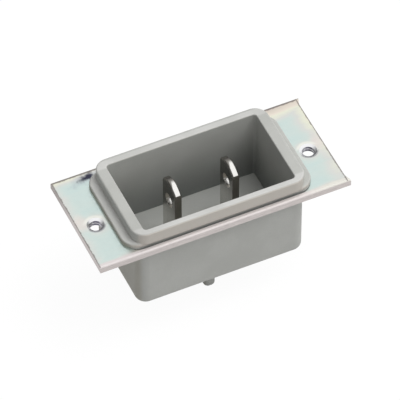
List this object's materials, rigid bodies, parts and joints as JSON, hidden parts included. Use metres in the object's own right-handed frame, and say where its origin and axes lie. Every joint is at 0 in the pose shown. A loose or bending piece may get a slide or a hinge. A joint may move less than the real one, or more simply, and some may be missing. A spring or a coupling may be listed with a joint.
{
  "type": "appliance inlet",
  "caption": "Panel-mounted appliance inlet: a rectangular grey plastic cup with upright flat contact blades, set in a plated steel strip with threaded fixing holes, and screw terminals behind.",
  "frame": {"origin": "on the front face of the mounting plate, midway between its two threaded fixing holes", "axes": "+Z out of the socket mouth, square to the plate; +X along the plate from the left blade to the right blade; +Y across the plate, away from the viewer of the picture"},
  "size_m": [0.0551, 0.0247, 0.0305],
  "materials": {
    "moulding": "grey moulded thermoset, fine satin grain",
    "plate": "zinc-plated steel with a pale iridescent passivation",
    "blade": "nickel-plated brass, satin",
    "fastener": "zinc-plated steel"
  },
  "bodies": {
    "root": {"body": "moulding", "mounting_plate": "plate", "blade_left": "blade", "blade_right": "blade", "terminal_screw_left": "fastener", "terminal_screw_right": "fastener", "clamp_washer_left": "fastener", "clamp_washer_right": "fastener", "spring_washer_left": "fastener", "spring_washer_right": "fastener"}
  },
  "joints": []
}
